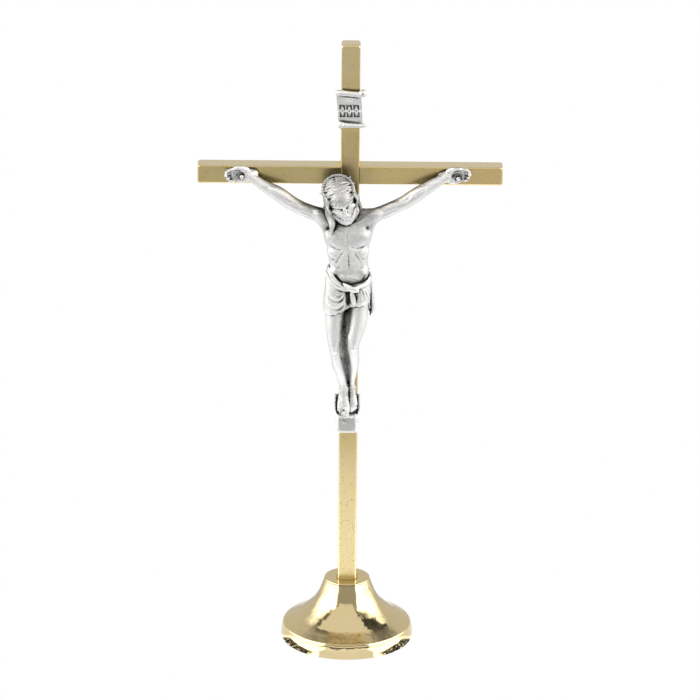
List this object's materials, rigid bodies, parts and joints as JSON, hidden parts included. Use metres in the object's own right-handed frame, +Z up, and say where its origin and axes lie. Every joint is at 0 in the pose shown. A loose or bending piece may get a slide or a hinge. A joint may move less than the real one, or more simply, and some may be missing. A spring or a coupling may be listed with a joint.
{
  "type": "standing altar cross",
  "caption": "Standing altar cross: square gilt bars lapped at the crossing, on a weighted bell foot, with a cast silver-toned figure, foot rest and scroll title plate.",
  "frame": {"origin": "centre of the foot's resting plane, on the upright's centre line", "axes": "+Z up the upright; the figure faces -Y; the crossbar runs along X with the figure's left hand at +X"},
  "size_m": [0.103, 0.0454, 0.216],
  "materials": {
    "gilt_bar": "gold-plated square bar, fine drawn grain, small plating pits",
    "gilt_foot": "gold-plated, mirror polished",
    "antique_silver": "white-metal casting, oxidised in the hollows and burnished on the high spots",
    "cast_iron": "turned, dull",
    "zinc_steel": "zinc-plated fastener",
    "felt": "dark green wool felt"
  },
  "bodies": {
    "root": {"ballast_weight": "cast_iron", "bell_foot": "gilt_foot", "crossbar": "gilt_bar", "felt_pad": "felt", "figure": "antique_silver", "foot_nail": "antique_silver", "foot_rest": "antique_silver", "foot_rest_pin": "antique_silver", "foot_screw": "zinc_steel", "hand_nail_left": "antique_silver", "hand_nail_right": "antique_silver", "plain_washer": "zinc_steel", "spring_washer": "zinc_steel", "title_pin": "antique_silver", "title_plate": "antique_silver", "upright_bar": "gilt_bar"}
  },
  "joints": []
}
